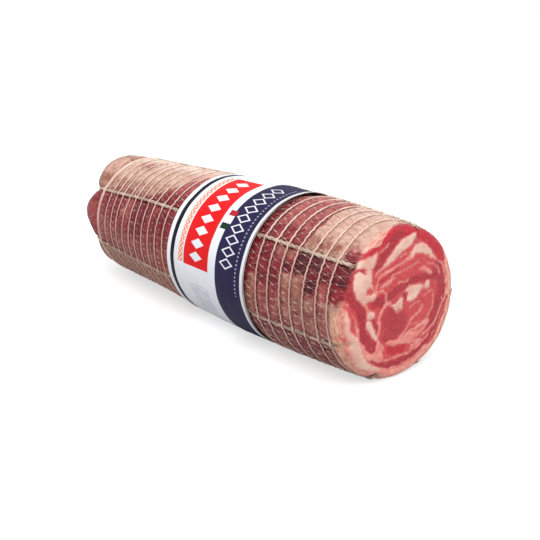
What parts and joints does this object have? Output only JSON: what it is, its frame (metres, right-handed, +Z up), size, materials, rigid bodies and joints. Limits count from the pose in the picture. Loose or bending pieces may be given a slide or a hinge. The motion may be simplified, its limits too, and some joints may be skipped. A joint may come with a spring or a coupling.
{
  "type": "rolled pancetta",
  "caption": "Rolled pancetta in an elastic net with a plain paper band round it, cut flat at one end to show the marbled spiral and drawn together at the other.",
  "frame": {"origin": "middle of the underside of the whole roll, level with the surface that it lies on", "axes": "+X along the roll and out of its cut face, +Y away from the side that faces the viewer, +Z up"},
  "size_m": [0.3658, 0.1206, 0.1158],
  "materials": {
    "meat": "cured pork belly, moist on the cut face and duller on the outside",
    "net": "off-white elastic and cotton thread, matt",
    "band": "coated white paper printed with plain fields of red and navy, soft sheen"
  },
  "bodies": {
    "root": {"meat": "meat", "net": "net", "band": "band"}
  },
  "joints": []
}
